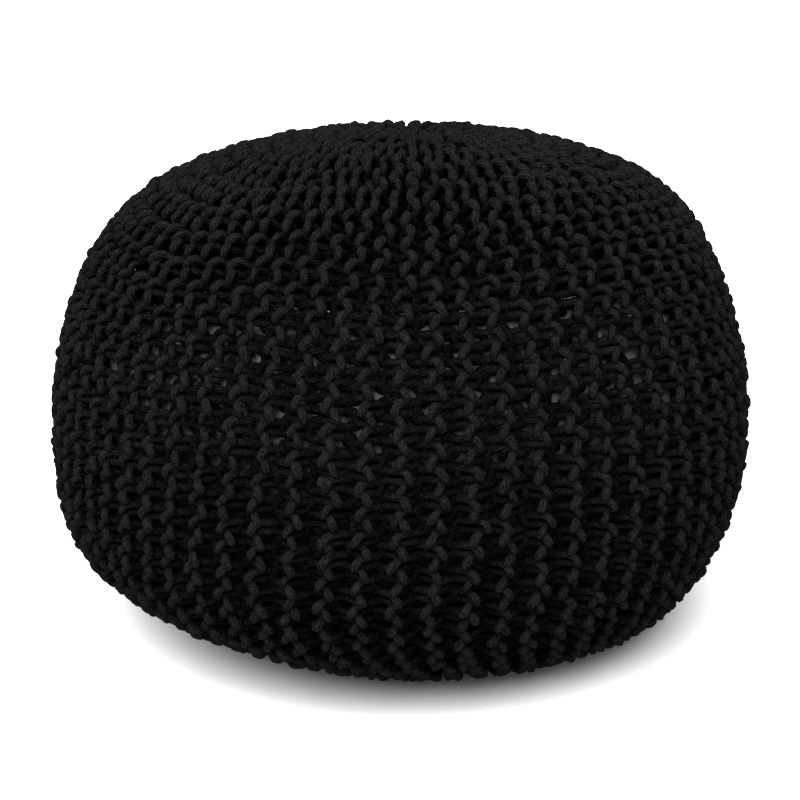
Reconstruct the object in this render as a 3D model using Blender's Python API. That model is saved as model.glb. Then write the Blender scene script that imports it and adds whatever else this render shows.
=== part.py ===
# Knitted pouf: one filled ball-like cushion in a thick knitted cover.
# Metres, +Z up. Origin at the centre of the bounding box, on the floor.
# The rounded ribs run from the gather in the base to the gather in the top.
import math

import bmesh
import bpy
import numpy as np

rib_count = 68            # ribs round the pouf
columns_per_rib = 3       # two points on the crest of a rib, one in the valley
rings_per_section = 2     # rings lofted from one table row to the next
gather_count = 17         # folds pulled together round the top knot
front_angle = -math.pi / 2
knot_height = 0.3505      # bottom of the pucker where the ribs end
colour = (0.018, 0.017, 0.018, 1.0)

# How the ribs stray from an even spacing, in radians.
front_turn = 0.007        # the rib nearest the front stands a little to the right of it
side_turn = 0.030         # ribs of both sides stand to the right
crowding = 0.045          # ribs of the front stand closer
spread_turn = 0.030       # ribs of the lower front stand apart
spread_middle = 0.09
lean_turn = 0.145         # ribs of the upper part lean towards the front
lean_side = 0.084         # and less so on the right

# One row for each level section, from the flat base to the pucker in the top.
# shift moves the section sideways: the base sits to the right, and so does the knot.
# back moves it away from the front, where the knot sits too.
# spread and lean say how much of those two turns of the ribs the section has.
section_columns = ("height", "radius", "shift", "back", "rib_depth", "gather", "spread", "lean")
section_rows = (
    (0.0000, 0.0980, 0.027, 0.000, 0.0000, 0.0000, 0.8, 0.00),
    (0.0090, 0.1455, 0.025, 0.000, 0.0045, 0.0000, 1.0, 0.00),
    (0.0260, 0.1860, 0.017, 0.000, 0.0060, 0.0000, 1.0, 0.00),
    (0.0540, 0.2215, 0.001, 0.000, 0.0065, 0.0000, 1.0, 0.00),
    (0.0900, 0.2420, -0.003, 0.000, 0.0065, 0.0000, 0.9, 0.00),
    (0.1380, 0.2490, -0.001, 0.000, 0.0060, 0.0000, 0.5, 0.00),
    (0.1870, 0.2465, 0.000, 0.000, 0.0060, 0.0000, 0.1, 0.00),
    (0.2360, 0.2350, 0.000, 0.000, 0.0055, 0.0000, 0.0, 0.03),
    (0.2830, 0.2140, 0.001, 0.000, 0.0050, 0.0000, 0.0, 0.30),
    (0.3185, 0.1830, 0.005, 0.001, 0.0045, 0.0000, 0.0, 0.75),
    (0.3385, 0.1425, 0.008, 0.003, 0.0040, 0.0003, 0.0, 0.90),
    (0.3500, 0.0975, 0.008, 0.005, 0.0030, 0.0010, 0.0, 0.70),
    (0.3550, 0.0580, 0.008, 0.007, 0.0015, 0.0022, 0.0, 0.35),
    (0.3555, 0.0280, 0.008, 0.009, 0.0004, 0.0028, 0.0, 0.10),
    (0.3525, 0.0090, 0.009, 0.010, 0.0000, 0.0010, 0.0, 0.00),
)

# Slow waves that keep the pouf from being a perfect ball: how often round, how much, where.
lump_columns = ("times_round", "amount", "phase")
lump_rows = (
    (2, 0.0014, 2.6),
    (3, 0.0016, 2.1),
    (5, 0.0012, 4.0),
)


def clear_scene():
    for thing in list(bpy.data.objects):
        bpy.data.objects.remove(thing, do_unlink=True)


def section_at(place):
    """Smooth value of each table column at a place counted in rows."""
    rows = np.array(section_rows)
    low = min(int(place), len(rows) - 2)
    part = place - low
    before, start, end, after = (
        rows[min(max(low + step, 0), len(rows) - 1)] for step in (-1, 0, 1, 2)
    )
    smooth = 0.5 * (
        2 * start
        + (end - before) * part
        + (2 * before - 5 * start + 4 * end - after) * part**2
        + (3 * start - before - 3 * end + after) * part**3
    )
    return dict(zip(section_columns, smooth))


def wave_sum(angle):
    total = 0.0
    for row in lump_rows:
        lump = dict(zip(lump_columns, row))
        total += lump["amount"] * math.sin(lump["times_round"] * angle + lump["phase"])
    return total


def rib_share(angle):
    """0 on the crest of a rib and 1 in the valley between two."""
    turn = (angle - front_angle) * rib_count / (2 * math.pi)
    away = abs(turn - round(turn))
    return min(max((away - 1 / 6) * 3, 0.0), 1.0)


def turned_angle(angle, here):
    """Angle at which a rib stands in a section, with the ribs' uneven spacing."""
    away = angle - front_angle
    side = math.sin(away) ** 2
    turned = angle + front_turn + side_turn * side - crowding * math.sin(away)
    turned += here["spread"] * spread_turn * math.sin(2 * (away - spread_middle))
    return turned + here["lean"] * (lean_side * side - lean_turn * math.sin(away))


def body_point(place, angle):
    """Point of the cover on a ring, at an angle round it."""
    here = section_at(place)
    step = 0.02
    above = section_at(min(place + step, len(section_rows) - 1))
    below = section_at(max(place - step, 0))
    rise = above["height"] - below["height"]
    run = above["radius"] - below["radius"]
    length = math.hypot(rise, run)
    out_r, out_z = rise / length, -run / length
    folded = 0.5 - 0.5 * math.cos(gather_count * (angle - front_angle))
    inward = here["rib_depth"] * rib_share(angle) + here["gather"] * folded
    turned = turned_angle(angle, here)
    swell = wave_sum(turned) * min(1.0, here["radius"] / 0.2) ** 2
    height = here["height"] - inward * out_z
    radius = here["radius"] - inward * out_r
    if place > 0:
        radius += swell * min(1.0, place / 2)
        height = max(height, 0.0006)
    return (
        radius * math.cos(turned) + here["shift"],
        radius * math.sin(turned) + here["back"],
        height,
    )


def make_body():
    rings = (len(section_rows) - 1) * rings_per_section + 1
    columns = rib_count * columns_per_rib
    ball = bmesh.new()
    bmesh.ops.create_uvsphere(ball, u_segments=columns, v_segments=rings + 1, radius=1.0)
    half_column = math.pi / columns
    last = len(section_rows) - 1
    for point in ball.verts:
        ring = round(math.acos(max(-1.0, min(1.0, -point.co.z))) / math.pi * (rings + 1))
        if ring == 0:
            point.co = (section_rows[0][2], section_rows[0][3], 0.0)
        elif ring == rings + 1:
            point.co = (section_rows[last][2], section_rows[last][3], knot_height)
        else:
            angle = math.atan2(point.co.y, point.co.x) + half_column
            point.co = body_point((ring - 1) / rings_per_section, angle)
    across = [point.co.x for point in ball.verts]
    along = [point.co.y for point in ball.verts]
    middle = ((min(across) + max(across)) / 2, (min(along) + max(along)) / 2, 0.0)
    bmesh.ops.translate(ball, vec=[-part for part in middle], verts=ball.verts)
    floor_faces = [face for face in ball.faces if all(p.co.z < 1e-7 for p in face.verts)]
    bmesh.ops.dissolve_faces(ball, faces=floor_faces, use_verts=True)
    bmesh.ops.recalc_face_normals(ball, faces=ball.faces)
    mesh = bpy.data.meshes.new("knitted_pouf")
    ball.to_mesh(mesh)
    ball.free()
    return bpy.data.objects.new("knitted_pouf", mesh)


def make_material():
    cord = bpy.data.materials.new("black_cotton_cord")
    cord.use_nodes = True
    surface = cord.node_tree.nodes["Principled BSDF"]
    surface.inputs["Base Color"].default_value = colour
    surface.inputs["Roughness"].default_value = 0.9
    surface.inputs["Sheen Weight"].default_value = 0.3
    return cord


clear_scene()
collection = bpy.data.collections.new("knitted_pouf")
bpy.context.scene.collection.children.link(collection)
pouf = make_body()
pouf.data.materials.append(make_material())
collection.objects.link(pouf)
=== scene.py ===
import math

import bmesh
import bpy
import numpy as np
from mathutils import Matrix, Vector


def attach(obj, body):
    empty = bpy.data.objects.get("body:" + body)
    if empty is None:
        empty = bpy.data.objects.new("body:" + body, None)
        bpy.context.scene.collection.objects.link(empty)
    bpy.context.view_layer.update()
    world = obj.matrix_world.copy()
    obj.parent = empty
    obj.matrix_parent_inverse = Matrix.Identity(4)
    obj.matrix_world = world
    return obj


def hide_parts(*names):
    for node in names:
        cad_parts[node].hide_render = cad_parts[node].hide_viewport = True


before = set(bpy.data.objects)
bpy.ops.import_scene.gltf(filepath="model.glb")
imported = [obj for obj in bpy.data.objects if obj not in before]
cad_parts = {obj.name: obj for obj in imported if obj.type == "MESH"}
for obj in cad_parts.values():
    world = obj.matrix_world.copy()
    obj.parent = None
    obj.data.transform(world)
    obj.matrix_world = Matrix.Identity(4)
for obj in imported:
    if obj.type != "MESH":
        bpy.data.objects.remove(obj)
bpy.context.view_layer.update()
scene = bpy.context.scene

camera = {
    "distance": 1.2,        # from the middle of the widest part
    "elevation": 17.5,      # degrees above level
    "aimHeight": 0.145,
    "focalPixels": 1632.0,  # on a picture 800 pixels wide
    "pictureWidth": 800.0,
    "across": 1.0,          # pixels that the aim lies left of the middle
    "down": 20.0,           # pixels that the aim lies under the middle
}


def placeCamera():
    lens = bpy.data.cameras.new("viewCamera")
    lens.sensor_width = 36.0
    lens.lens = camera["focalPixels"] * lens.sensor_width / camera["pictureWidth"]
    lens.shift_x = camera["across"] / camera["pictureWidth"]
    lens.shift_y = camera["down"] / camera["pictureWidth"]
    lens.clip_end = 60.0
    holder = bpy.data.objects.new("viewCamera", lens)
    tilt = math.radians(camera["elevation"])
    back = Vector((0.0, -math.cos(tilt), math.sin(tilt)))
    holder.location = Vector((0.0, 0.0, camera["aimHeight"])) + back * camera["distance"]
    holder.rotation_euler = (math.pi / 2 - tilt, 0.0, 0.0)
    scene.collection.objects.link(holder)
    scene.camera = holder
    print("camera placed")


placeCamera()


class Signal:  # a shader socket that takes + - * and abs
    def __init__(self, recipe, socket):
        self.recipe = recipe
        self.socket = socket

    def maths(self, operation, first, second=None):
        values = {0: first} if second is None else {0: first, 1: second}
        return self.recipe.add("ShaderNodeMath", {"operation": operation}, values)

    def __add__(self, other):
        return self.maths("ADD", self, other)

    def __radd__(self, other):
        return self.maths("ADD", other, self)

    def __sub__(self, other):
        return self.maths("SUBTRACT", self, other)

    def __rsub__(self, other):
        return self.maths("SUBTRACT", other, self)

    def __mul__(self, other):
        return self.maths("MULTIPLY", self, other)

    def __rmul__(self, other):
        return self.maths("MULTIPLY", other, self)

    def __abs__(self):
        return self.maths("ABSOLUTE", self)

    def sine(self):
        return self.maths("SINE", self)

    def output(self, name):  # another output of the same node
        return Signal(self.recipe, self.socket.node.outputs[name])


class Recipe:  # one material and its nodes
    def __init__(self, name):
        self.material = bpy.data.materials.new(name)
        self.material.use_nodes = True
        self.tree = self.material.node_tree
        self.tree.nodes.clear()

    def add(self, kind, settings=None, sockets=None, out=0):
        node = self.tree.nodes.new(kind)
        for key, value in (settings or {}).items():
            setattr(node, key, value)
        for key, value in (sockets or {}).items():
            if isinstance(value, Signal):
                self.tree.links.new(value.socket, node.inputs[key])
            else:
                node.inputs[key].default_value = value
        return Signal(self, node.outputs[out]) if len(node.outputs) else node

    def attribute(self, name, out):
        return self.add("ShaderNodeAttribute", {"attribute_name": name}, out=out)

    def objectPlace(self):
        return self.add("ShaderNodeTexCoord", out="Object")

    def noise(self, vector, scale, detail=2.0, rough=0.5):
        return self.add("ShaderNodeTexNoise", None, {
            "Vector": vector, "Scale": scale, "Detail": detail, "Roughness": rough})

    def mapped(self, value, start, end, low=0.0, high=1.0):
        return self.add("ShaderNodeMapRange", None, {
            "Value": value, "From Min": start, "From Max": end, "To Min": low, "To Max": high})

    def blend(self, value, dark, light, start=0.0, end=1.0):  # colour from dark to light
        share = self.mapped(value, start, end)
        return self.add("ShaderNodeMix", {"data_type": "RGBA"},
                        {0: share, 6: (*dark, 1.0), 7: (*light, 1.0)}, out=2)

    def scaled(self, colour, amount):
        return self.add("ShaderNodeVectorMath", {"operation": "SCALE"}, {0: colour, "Scale": amount})

    def bump(self, height, distance, strength=1.0):
        return self.add("ShaderNodeBump", None, {
            "Height": height, "Strength": strength, "Distance": distance})

    def finish(self, colour, roughness, specular, **others):
        surface = self.add("ShaderNodeBsdfPrincipled", None, {
            "Base Color": colour, "Roughness": roughness, "Specular IOR Level": specular, **others})
        self.add("ShaderNodeOutputMaterial", None, {"Surface": surface})
        return self.material


# The same sections as the solid, from the flat base to the pucker in the top.
shape = {
    "ribs": 68,
    "front": -math.pi / 2,
    "knotHeight": 0.3505,
    "frontTurn": 0.007,     # radians, as the other turns of the ribs
    "sideTurn": 0.030,
    "crowding": 0.045,
    "spreadTurn": 0.030,
    "spreadMiddle": 0.09,
    "leanTurn": 0.145,
    "leanSide": 0.084,
    "flatPart": 0.094,      # radius of the flat part of the base
    "lumpRadius": 0.2,      # inside which the lumps fade
}
sectionColumns = ("height", "radius", "shift", "back", "spread", "lean")
sectionRows = (
    (0.0000, 0.0980, 0.027, 0.000, 0.8, 0.00),
    (0.0090, 0.1455, 0.025, 0.000, 1.0, 0.00),
    (0.0260, 0.1860, 0.017, 0.000, 1.0, 0.00),
    (0.0540, 0.2215, 0.001, 0.000, 1.0, 0.00),
    (0.0900, 0.2420, -0.003, 0.000, 0.9, 0.00),
    (0.1380, 0.2490, -0.001, 0.000, 0.5, 0.00),
    (0.1870, 0.2465, 0.000, 0.000, 0.1, 0.00),
    (0.2360, 0.2350, 0.000, 0.000, 0.0, 0.03),
    (0.2830, 0.2140, 0.001, 0.000, 0.0, 0.30),
    (0.3185, 0.1830, 0.005, 0.001, 0.0, 0.75),
    (0.3385, 0.1425, 0.008, 0.003, 0.0, 0.90),
    (0.3500, 0.0975, 0.008, 0.005, 0.0, 0.70),
    (0.3550, 0.0580, 0.008, 0.007, 0.0, 0.35),
    (0.3555, 0.0280, 0.008, 0.009, 0.0, 0.10),
    (0.3525, 0.0090, 0.009, 0.010, 0.0, 0.00),
)
lumpRows = ((2, 0.0014, 2.6), (3, 0.0016, 2.1), (5, 0.0012, 4.0))  # times round, amount, phase


def sectionLine(steps=24):  # smooth table rows from the top down, with their place in the table
    rows = np.array(sectionRows)
    found = []
    for low in range(len(rows) - 1):
        before, start, end, after = (
            rows[min(max(low + step, 0), len(rows) - 1)] for step in (-1, 0, 1, 2))
        for part in np.arange(steps) / steps:
            smooth = 0.5 * (2 * start + (end - before) * part
                            + (2 * before - 5 * start + 4 * end - after) * part**2
                            + (3 * start - before - 3 * end + after) * part**3)
            found.append((*smooth, low + part))
    found.append((*rows[-1], len(rows) - 1.0))
    return np.array(found)[::-1]


def lengthAlong(*parts):  # length of a line from its start to each point
    steps = np.sqrt(sum(np.diff(part) ** 2 for part in parts))
    return np.concatenate([[0.0], np.cumsum(steps)])


def makeProfile(evenSteps=1200, baseSteps=24, smoothing=31):  # from the knot to the middle of the base
    line = sectionLine()
    knot = np.array([[shape["knotHeight"], 0.0, *line[0][2:]]])
    inward = np.linspace(shape["flatPart"], 0.0, baseSteps)
    base = np.array([[0.0, radius, *line[-1][2:]] for radius in inward])
    line = np.concatenate([knot, line, base])
    arc = lengthAlong(line[:, 0], line[:, 1])
    even = np.linspace(0.0, arc[-1], evenSteps)
    columns = (*sectionColumns, "place")
    found = {name: np.interp(even, arc, line[:, k]) for k, name in enumerate(columns)}
    kernel = np.hanning(smoothing)
    kernel = kernel / kernel.sum()
    outward = (-np.gradient(found["height"], even), np.gradient(found["radius"], even))
    outR, outZ = (np.convolve(np.pad(part, smoothing // 2, "edge"), kernel, "valid")
                  for part in outward)
    length = np.hypot(outR, outZ)
    found.update({"arc": even, "outR": outR / length, "outZ": outZ / length})
    return found


profile = makeProfile()
fullArc = profile["arc"][-1]


def along(name, arc):
    return np.interp(arc, profile["arc"], profile[name])


def tableValue(columns, rows, name, arc):  # a value of a table whose first column is the arc length
    table = np.array(rows)
    return np.interp(arc, table[:, 0], table[:, columns.index(name)])


def turnedAngle(arc, angle):  # where a rib stands, with the ribs' uneven spacing
    away = angle - shape["front"]
    side = np.sin(away) ** 2
    turned = angle + shape["frontTurn"] + shape["sideTurn"] * side - shape["crowding"] * np.sin(away)
    spread = shape["spreadTurn"] * np.sin(2 * (away - shape["spreadMiddle"]))
    lean = shape["leanSide"] * side - shape["leanTurn"] * np.sin(away)
    return turned + along("spread", arc) * spread + along("lean", arc) * lean


def bodyPoints(arc, angle, lift):  # arc is the length down from the knot, lift the height over the body
    arc, angle, lift = np.broadcast_arrays(arc, angle, lift)
    radius, turned = along("radius", arc), turnedAngle(arc, angle)
    swell = sum(amount * np.sin(times * turned + phase) for times, amount, phase in lumpRows)
    swell = swell * np.minimum(1.0, radius / shape["lumpRadius"]) ** 2
    swell = swell * np.clip(along("place", arc) / 2, 0.0, 1.0)  # none at the edge of the base
    reach = radius + swell + lift * along("outR", arc)
    return np.stack([reach * np.cos(turned) + along("shift", arc),
                     reach * np.sin(turned) + along("back", arc),
                     along("height", arc) + lift * along("outZ", arc)], axis=-1)


def bodyMiddle(around=720, down=300):  # middle of the body's box, which the solid has at the origin
    turns = np.arange(around) * 2 * np.pi / around
    arcs, angles = np.meshgrid(np.linspace(0.0, fullArc, down), turns)
    points = bodyPoints(arcs.ravel(), angles.ravel(), 0.0)
    middle = (points.min(axis=0) + points.max(axis=0)) / 2
    return np.array([middle[0], middle[1], 0.0])


middleOfBody = bodyMiddle()


def surfacePoints(arc, angle, lift):
    return bodyPoints(arc, angle, lift) - middleOfBody


def linkPiece(name, mesh, material):
    mesh.polygons.foreach_set("use_smooth", [True] * len(mesh.polygons))
    mesh.materials.append(material)
    piece = bpy.data.objects.new(name, mesh)
    scene.collection.objects.link(piece)
    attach(piece, "root")
    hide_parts("knitted_pouf")
    return piece


innerBag = {
    "columns": 136,
    "rings": 60,
    "fill": 0.95,
    # the next colour is painted light, for glints of the bag seen through the gaps; dull is the bag's own
    # near-black
    "paintedGlint": 0.036,
    "dull": 0.0012,
    "top": 0.275,           # height under which the bag, lying close to the cover, is painted lighter: painted glints
    "topFade": 0.004,
    "bottom": 0.195,
    "bottomFade": 0.03,
    "glintPatches": 110.0,       # scale of the noise that picks where the painted glints go
    "glintPatchEdges": (0.42, 0.60),
    "weave": 700.0,
    "relief": 0.0003,
}
# How deep the bag lies under the cover, by the length down from the knot.
bagColumns = ("arc", "depth")
bagRows = (
    (0.00, 0.0170),
    (0.20, 0.0160),
    (0.27, 0.0125),
    (0.42, 0.0125),
    (0.50, 0.0150),
    (0.90, 0.0150),
)


def bagMaterial():
    recipe = Recipe("blackInnerBagPaintedGlints")
    place = recipe.objectPlace()
    height = recipe.add("ShaderNodeSeparateXYZ", None, {"Vector": place}, out="Z")
    # painted glints: the bag is coloured lighter in noise patches and in a band by height, standing in for
    # light caught through the gaps of the cover; elsewhere it keeps its own near-black
    glintPatches = recipe.noise(place, innerBag["glintPatches"], detail=1.0)
    glintPatches = recipe.mapped(glintPatches, *innerBag["glintPatchEdges"])
    weave = recipe.noise(place, innerBag["weave"])
    upper = recipe.mapped(height, innerBag["top"], innerBag["top"] - innerBag["topFade"])
    lower = recipe.mapped(height, innerBag["bottom"] - innerBag["bottomFade"],
                          innerBag["bottom"] + innerBag["bottomFade"])
    light = upper * lower * glintPatches * (0.5 + weave)
    shade = recipe.blend(light, (innerBag["dull"],) * 3, (innerBag["paintedGlint"],) * 3)
    relief = recipe.bump(weave, innerBag["relief"], strength=0.3)
    return recipe.finish(shade, roughness=0.5, specular=0.02, Normal=relief)


def makeInnerBag():
    bag = bmesh.new()
    bmesh.ops.create_uvsphere(bag, u_segments=innerBag["columns"],
                              v_segments=innerBag["rings"], radius=1.0)
    angles = np.array([math.atan2(point.co.y, point.co.x) for point in bag.verts])
    falls = np.array([math.acos(max(-1.0, min(1.0, point.co.z))) for point in bag.verts])
    arcs = falls / math.pi * fullArc
    placed = surfacePoints(arcs, angles, -tableValue(bagColumns, bagRows, "depth", arcs))
    for point, spot in zip(bag.verts, placed):
        point.co = spot
    bmesh.ops.recalc_face_normals(bag, faces=bag.faces)
    mesh = bpy.data.meshes.new("inner_bag")
    bag.to_mesh(mesh)
    bag.free()
    piece = linkPiece("inner_bag", mesh, bagMaterial())
    print("inner bag made")


knit = {
    "cord": 0.0052,         # usual thickness of the cord
    "corners": 6,           # of the cord's section
    "flatten": 4.0,         # how straight the outer end of a loop is
    "waist": 0.14,          # how much closer its legs come together, as a share of the pitch
    "waistFrom": 0.21,      # where on the loop that starts, 0.5 being its whole length
    "slant": 0.0016,        # tilt of the outer end
    "ridgeEdge": 0.43,      # where a leg climbs over the ridge, 1 being the end of the loop
    "valleyEdge": 0.00,     # where it dives under the valley
    "edgeLength": 0.13,
    "valley": 0.0006,       # how much deeper the legs lie in the middle of a valley
    "sinkDepth": 0.009,     # how deep the ribs that end early go under the others
    "leastShare": 0.12,     # width that such a rib keeps
    "narrow": 0.018,        # ribs narrower than this are straighter
    "roomShare": 0.42,      # a loop reaches over the next course by at most this share of the width
    "roomLost": 0.0018,     # less this
    "leastOverlap": 0.001,
    "nearKnot": 0.006,      # the courses start this far from the knot
    "nearBase": 0.008,      # and end this far from the middle of the base
    "seed": 11,
    "pieces": 6,
}
loose = {  # how uneven the stitches are
    "across": 0.0008,
    "arc": 0.0010,
    "lift": 0.0006,
    "reach": 0.11,
    "thickness": 0.08,
    "sway": 0.0009,         # slow wander of a whole rib
    "swayLengths": (0.055, 0.13),
    "slides": ((2, 0.004, 1.0), (5, 0.003, 2.0)),  # rows run up and down: times round, amount, phase
    "slideFrom": 0.15,      # arc length from which they do so in full
}
# The stitches by the length down from the knot: pitch from one to the next, thickness as a share of
# the cord's, plump for how much thicker the ends of a loop are than its legs, overlap for how far it
# reaches into the next course, and depth for half the way from its front to its back.
stitchColumns = ("arc", "pitch", "thickness", "plump", "overlap", "depth")
stitchRows = (
    (0.000, 0.0300, 1.10, 0.10, 0.0030, 0.0052),
    (0.060, 0.0310, 1.10, 0.12, 0.0032, 0.0058),
    (0.125, 0.0290, 1.10, 0.15, 0.0036, 0.0061),
    (0.155, 0.0262, 1.10, 0.15, 0.0040, 0.0060),
    (0.185, 0.0222, 1.09, 0.14, 0.0042, 0.0052),
    (0.205, 0.0192, 1.06, 0.10, 0.0044, 0.0046),
    (0.235, 0.0172, 1.04, 0.05, 0.0046, 0.0043),
    (0.300, 0.0165, 1.04, 0.02, 0.0048, 0.0042),
    (0.360, 0.0161, 1.04, 0.06, 0.0048, 0.0043),
    (0.400, 0.0161, 1.04, 0.10, 0.0048, 0.0045),
    (0.460, 0.0161, 1.06, 0.13, 0.0046, 0.0047),
    (0.530, 0.0168, 1.08, 0.13, 0.0046, 0.0047),
    (0.590, 0.0178, 1.08, 0.12, 0.0046, 0.0045),
    (0.660, 0.0205, 1.05, 0.12, 0.0045, 0.0036),
    (0.900, 0.0230, 1.05, 0.12, 0.0045, 0.0030),
)
loopSteps = (0.0, 0.095, 0.155, 0.195, 0.235, 0.28, 0.335, 0.41)  # points of half a stitch
# Ribs go in groups of four. One runs to the knot, and the others end before it.
# Each row holds the radius where the rib has no width, where it is whole, and where its cord ends.
ribRows = (
    (0.000, 0.001, 0.006),
    (0.105, 0.150, 0.095),
    (0.030, 0.056, 0.024),
    (0.048, 0.080, 0.042),
)
cordFinish = {
    "dark": (0.0004, 0.0004, 0.0004),
    "light": (0.0099, 0.0094, 0.0098),
    "plies": 8,
    "twistLength": 0.050,   # length of cord in which the plies go once round
    "stretch": 200.0,       # noise turns per metre of cord, for each turn across it
    "fibres": 1.9,
    "fuzz": 750.0,
    "patches": 60.0,
    "shades": {"fibres": 0.45, "fuzz": 0.9, "patches": 0.1, "plies": 0.1},
    "heights": {"fibres": 1.2, "fuzz": 0.8, "plies": 0.5},
    "darkAt": 0.52,         # what the shades add up to where the cord is dark
    "lightAt": 1.00,
    "relief": 0.0015,
    "paintedShadeFrom": 0.0026,     # painted shade: the colour fades to black from this depth under the cover's outside
    "paintedShadeTo": 0.0128,
    "paintedShadeLoss": 0.96,       # share of the colour that the painted shade takes away there
}


def cordMaterial():
    recipe = Recipe("blackCottonCord")
    strand = recipe.attribute("strand", "Vector")
    sunk = recipe.attribute("sunk", "Fac")
    cosine = recipe.add("ShaderNodeSeparateXYZ", None, {"Vector": strand})
    angle = cosine.maths("ARCTAN2", cosine.output("Y"), cosine)
    ply = abs((angle * (cordFinish["plies"] / 2)).sine())
    stretched = recipe.add("ShaderNodeMapping", None, {
        "Vector": strand, "Scale": (1.0, 1.0, cordFinish["stretch"])})
    place = recipe.objectPlace()
    fibres = recipe.noise(stretched, cordFinish["fibres"], rough=0.6)
    fuzz = recipe.noise(place, cordFinish["fuzz"], rough=0.6)
    patches = recipe.noise(place, cordFinish["patches"])
    part = cordFinish["shades"]
    pattern = fibres * part["fibres"] + fuzz * part["fuzz"] + patches * part["patches"] + ply * part["plies"]
    part = cordFinish["heights"]
    height = ply * part["plies"] + fibres * part["fibres"] + fuzz * part["fuzz"]
    shade = recipe.blend(pattern, cordFinish["dark"], cordFinish["light"],
                         cordFinish["darkAt"], cordFinish["lightAt"])
    # painted shade: the deeper the cord lies under the cover's outside, the darker its colour, for the shade
    # in the gaps of the knit
    paintedShade = recipe.mapped(sunk, cordFinish["paintedShadeFrom"], cordFinish["paintedShadeTo"])
    shade = recipe.scaled(shade, 1.0 - cordFinish["paintedShadeLoss"] * paintedShade)
    relief = recipe.bump(height, cordFinish["relief"])
    return recipe.finish(shade, roughness=0.75, specular=0.0, Normal=relief)


def stitchValue(name, arc):
    return tableValue(stitchColumns, stitchRows, name, arc)


def stitchPlaces(samples=2000):  # length down from the knot of each stitch number
    arc = np.linspace(0.0, fullArc, samples)
    steps = np.diff(arc) / stitchValue("pitch", arc[1:])
    return arc, np.concatenate([[0.0], np.cumsum(steps)])


arcOfStitch, stitchCount = stitchPlaces()


def arcAt(number):
    return np.interp(number, stitchCount, arcOfStitch)


def easeIn(value, start, end):
    share = np.clip((value - start) / (end - start), 0.0, 1.0)
    return share * share * (3 - 2 * share)


def ribPlaces(rib, radius):  # angle, width and remaining share of a rib
    kept = [easeIn(radius, goneAt, fullAt) for goneAt, fullAt, cordEnds in ribRows]
    shares = [knit["leastShare"] + (1 - knit["leastShare"]) * keep for keep in kept]
    group, kind = divmod(int(rib), len(ribRows))
    offset = sum(shares[:kind]) + shares[kind] / 2 - shares[0] / 2
    groupAngle = len(ribRows) * 2 * math.pi / shape["ribs"]
    angle = shape["front"] + groupAngle * (group + offset / sum(shares))
    return angle, radius * groupAngle * shares[kind] / sum(shares), kept[kind]


def ribSway(rng):
    phases = rng.uniform(0.0, 2 * math.pi, len(loose["swayLengths"]))

    def swayOf(arc):
        waves = zip(loose["swayLengths"], phases)
        return loose["sway"] * sum(np.sin(2 * math.pi * arc / length + phase) for length, phase in waves)
    return swayOf


def stitchDraws(side, number, rng):  # how each stitch differs from an even one
    size = int(stitchCount[-1]) + 2
    pick = np.round(number + (0.0 if side > 0 else 0.5)).astype(int)
    names = ("across", "arc", "lift", "reach", "thickness")
    return {name: loose[name] * rng.normal(0.0, 1.0, size)[pick] for name in names}


def acrossRib(side, number, even, width, draws):
    # from the middle of one course into the next, with straight outer ends
    room = np.maximum(width * knit["roomShare"] - knit["roomLost"], knit["leastOverlap"])
    reach = width / 4 + np.minimum(stitchValue("overlap", even), room) / 2
    bent = knit["flatten"] * np.cos(2 * np.pi * number)
    loopEnd = np.tanh(bent) / math.tanh(knit["flatten"])
    tilt = knit["slant"] * np.minimum(width / knit["narrow"], 1.0) * np.sin(2 * np.pi * number)
    return side * width / 4 - reach * (1 + draws["reach"]) * loopEnd - tilt


def downRib(side, number, even, ribAngle, draws):  # a loop closes at its neck
    pitch = arcAt(number + 0.5) - arcAt(number - 0.5)
    fromHead = (number + (0.5 if side < 0 else 0.0) + 0.5) % 1.0 - 0.5
    within = (abs(fromHead) - knit["waistFrom"]) / (0.5 - knit["waistFrom"])
    neck = np.sin(np.pi * np.clip(within, 0.0, 1.0))
    arc = even - np.sign(fromHead) * knit["waist"] * neck * pitch
    slide = sum(amount * np.sin(times * ribAngle + phase) for times, amount, phase in loose["slides"])
    return arc + slide * np.clip(arc / loose["slideFrom"], 0.0, 1.0) + draws["arc"]


def outOfRib(side, number, arc, across, width, thick):
    # the ends of the loops lie over the ridge and under the valley
    face = side * np.cos(2 * np.pi * number)
    over = np.tanh((face - knit["ridgeEdge"]) / knit["edgeLength"])
    under = np.tanh((face + knit["valleyEdge"]) / knit["edgeLength"])
    toValley = across / np.maximum(width, 0.002)  # no rib is thinner, which keeps the share finite
    drop = knit["valley"] * (1 - np.cos(2 * np.pi * toValley)) / 2
    return ((over + under) / 2 - 1) * stitchValue("depth", arc) - drop - thick / 2


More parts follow.
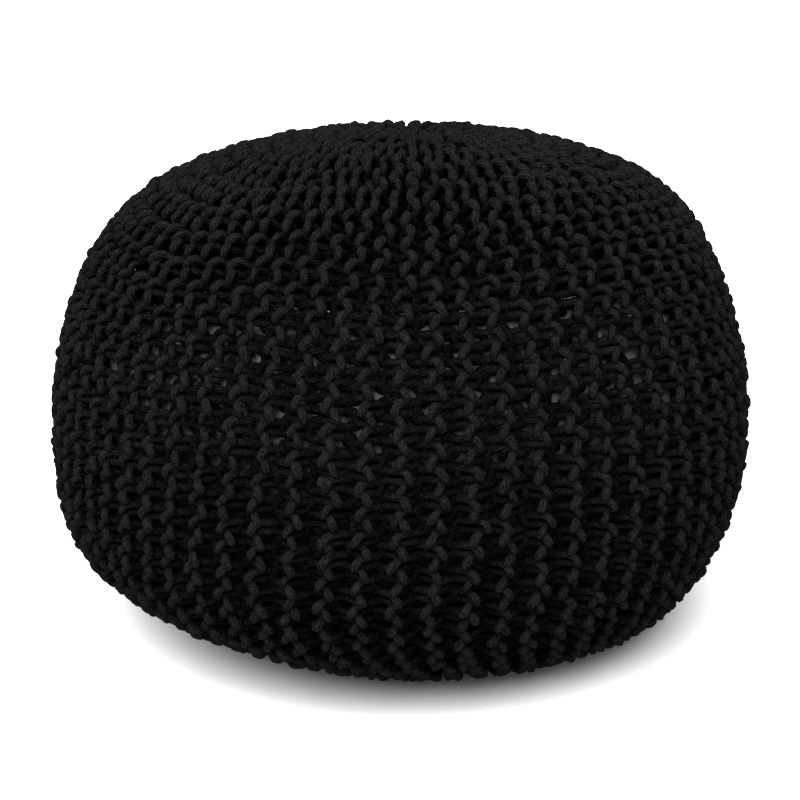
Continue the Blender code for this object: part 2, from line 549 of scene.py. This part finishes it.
def coursePath(rib, side, swayOf, rng):
    # one course of the knitting from knot to base; side is -1 for the knit and 1 for the purl course
    steps = np.array(loopSteps)
    stitches = np.arange(int(stitchCount[-1]))[:, None]
    number = (stitches + np.concatenate([steps, steps + 0.5])).ravel()
    draws = stitchDraws(side, number, rng)
    even = arcAt(number)
    radius = along("radius", even)
    ribAngle, width, kept = ribPlaces(rib, radius)
    wander = (draws["across"] + swayOf(even)) * np.minimum(width / knit["narrow"], 1.0)
    across = acrossRib(side, number, even, width, draws) + wander
    arc = downRib(side, number, even, ribAngle, draws)
    thick = knit["cord"] * stitchValue("thickness", arc)
    lift = outOfRib(side, number, arc, across, width, thick)
    lift = lift - knit["sinkDepth"] * (1 - kept) + draws["lift"]
    angle = ribAngle + across / np.maximum(radius, 0.004)  # the cords end before that radius
    plump = 1 + stitchValue("plump", even) * np.cos(4 * np.pi * number)
    thick = thick * plump * (1 + draws["thickness"])
    cordEnds = ribRows[rib % len(ribRows)][-1]
    keep = (arc > knit["nearKnot"]) & (arc < fullArc - knit["nearBase"]) & (radius > cordEnds)
    arc, angle, lift, thick = arc[keep], angle[keep], lift[keep], thick[keep]
    points = surfacePoints(arc, angle, lift)
    points[:, 2] = np.maximum(points[:, 2], thick / 2)  # the floor presses the base flat
    return points, thick, surfacePoints(arc, angle, 0.0)


def strandRings(points, corners, twistLength):
    # the direction round the cord, wound like its plies, and the length along it
    length = lengthAlong(*points.T)[:, None]
    wound = np.arange(corners) / corners * 2 * np.pi + length * 2 * np.pi / twistLength
    return np.stack([np.cos(wound), np.sin(wound), length + 0.0 * wound], axis=-1)


def sunkRings(ringPoints, points, skin):  # how deep each point lies under the cover's outside, which the cord's painted shade reads
    away = skin - points
    outward = away / np.maximum(np.linalg.norm(away, axis=1), 1e-6)[:, None]
    return np.einsum("rcx,rx->rc", skin[:, None, :] - ringPoints, outward)


def addValues(mesh, name, kind, field, blocks):
    # the mesh holds the caps first, from the last cord to the first, and then the rings
    caps = [block[end] for block in reversed(blocks) for end in (-1, 0)]
    rings = [block.reshape(-1, *block.shape[2:]) for block in blocks]
    layer = mesh.attributes.new(name, kind, "POINT")
    layer.data.foreach_set(field, np.concatenate(caps + rings).ravel())


def roundCurve(name, paths, corners):
    curve = bpy.data.curves.new(name, "CURVE")
    curve.dimensions = "3D"
    curve.bevel_depth = 0.5
    curve.bevel_resolution = (corners - 4) // 2
    curve.use_fill_caps = True
    curve.twist_mode = "MINIMUM"
    for points, thick, skin in paths:
        line = curve.splines.new("POLY")
        line.points.add(len(points) - 1)
        line.points.foreach_set("co", np.column_stack([points, np.ones(len(points))]).ravel())
        line.points.foreach_set("radius", thick)
    return curve


def curveMesh(name, curve):
    maker = bpy.data.objects.new(name, curve)
    scene.collection.objects.link(maker)
    solved = maker.evaluated_get(bpy.context.evaluated_depsgraph_get())
    mesh = bpy.data.meshes.new_from_object(solved)
    bpy.data.objects.remove(maker)
    bpy.data.curves.remove(curve)
    mesh.name = name
    return mesh


def bevelledCords(name, paths, corners, twistLength):
    mesh = curveMesh(name, roundCurve(name, paths, corners))
    spots = np.empty((len(mesh.vertices), 3))
    mesh.vertices.foreach_get("co", spots.reshape(-1))
    spots = spots[2 * corners * len(paths):].reshape(-1, corners, 3)
    rings = np.split(spots, np.cumsum([len(path[0]) for path in paths])[:-1])
    sunk = [sunkRings(ring, points, skin) for ring, (points, thick, skin) in zip(rings, paths)]
    strand = [strandRings(points, corners, twistLength) for points, thick, skin in paths]
    addValues(mesh, "sunk", "FLOAT", "value", sunk)
    addValues(mesh, "strand", "FLOAT_VECTOR", "vector", strand)
    joined = bmesh.new()
    joined.from_mesh(mesh)
    bmesh.ops.remove_doubles(joined, verts=joined.verts, dist=1e-7)  # closes the caps
    joined.to_mesh(mesh)
    joined.free()
    print(name, sum(len(face.vertices) - 2 for face in mesh.polygons), "triangles")
    return mesh


def makeKnit():
    rng = np.random.default_rng(knit["seed"])
    material = cordMaterial()
    groups = np.array_split(np.arange(shape["ribs"]), knit["pieces"])
    for number, ribs in enumerate(groups, 1):
        paths = []
        for rib in ribs:
            swayOf = ribSway(rng)
            paths += [coursePath(rib, side, swayOf, rng) for side in (-1, 1)]
        name = f"knit_courses_{number}"
        mesh = bevelledCords(name, paths, knit["corners"], cordFinish["twistLength"])
        linkPiece(name, mesh, material)
    print("knitted cover made")


seam = {  # small pale stitches of the inner bag
    "arc": 0.236,           # length down from the knot
    "wave": 0.003,
    "uneven": 0.0002,
    "count": 640,
    "length": 0.0013,
    "thickness": 0.0009,
    "height": 0.0004,       # of a stitch's middle over the bag
    "corners": 4,
    "seed": 5,
    "dark": (0.20, 0.20, 0.20),
    "light": (0.35, 0.35, 0.35),
    "mottle": 1500.0,
}


def threadMaterial():
    recipe = Recipe("paleSeamThread")
    mottled = recipe.noise(recipe.objectPlace(), seam["mottle"])
    shade = recipe.blend(mottled, seam["dark"], seam["light"], start=0.3, end=0.7)
    return recipe.finish(shade, roughness=0.6, specular=0.5)


def makeSeam():
    rng = np.random.default_rng(seam["seed"])
    depth = tableValue(bagColumns, bagRows, "depth", seam["arc"])
    radius = float(along("radius", seam["arc"]))
    paths = []
    for number in range(seam["count"]):
        angle = 2 * math.pi * number / seam["count"]
        angles = angle + np.array([-0.5, 0.0, 0.5]) * seam["length"] / radius
        arc = seam["arc"] + seam["wave"] * math.sin(3 * angle) + rng.normal(0, seam["uneven"])
        points = surfacePoints(arc, angles, np.array([0.0, seam["height"], 0.0]) - depth)
        paths.append((points, np.full(3, seam["thickness"]), surfacePoints(arc, angles, 0.0)))
    mesh = bevelledCords("seam_stitches", paths, seam["corners"], 1.0)
    linkPiece("seam_stitches", mesh, threadMaterial())
    print("seam made")


studio = {
    "world": 0.8,
    "sun": 12.0,
    "sunSpread": 60.0,      # degrees
    "sunFrom": (-0.22, -0.72, 1.15),
    "floor": 0.66,
    "floorRadius": 25.0,
}


def makeFloor():
    plane = bmesh.new()
    bmesh.ops.create_circle(plane, cap_ends=True, segments=64, radius=studio["floorRadius"])
    mesh = bpy.data.meshes.new("floor")
    plane.to_mesh(mesh)
    plane.free()
    floor = bpy.data.objects.new("floor", mesh)
    scene.collection.objects.link(floor)
    recipe = Recipe("paleFloor")
    grey = studio["floor"]
    mesh.materials.append(recipe.finish((grey, grey, grey, 1.0), roughness=1.0, specular=0.0))


def makeLight():
    world = bpy.data.worlds.new("studio")
    world.use_nodes = True
    background = world.node_tree.nodes["Background"]
    background.inputs["Color"].default_value = (1.0, 1.0, 1.0, 1.0)
    background.inputs["Strength"].default_value = studio["world"]
    scene.world = world
    light = bpy.data.lights.new("softSun", "SUN")
    light.energy = studio["sun"]
    light.angle = math.radians(studio["sunSpread"])
    holder = bpy.data.objects.new("softSun", light)
    holder.rotation_euler = Vector(studio["sunFrom"]).to_track_quat("Z", "Y").to_euler()
    scene.collection.objects.link(holder)
    scene.view_settings.view_transform = "Standard"


makeInnerBag()
makeKnit()
makeSeam()
makeFloor()
makeLight()
print("floor and light set")
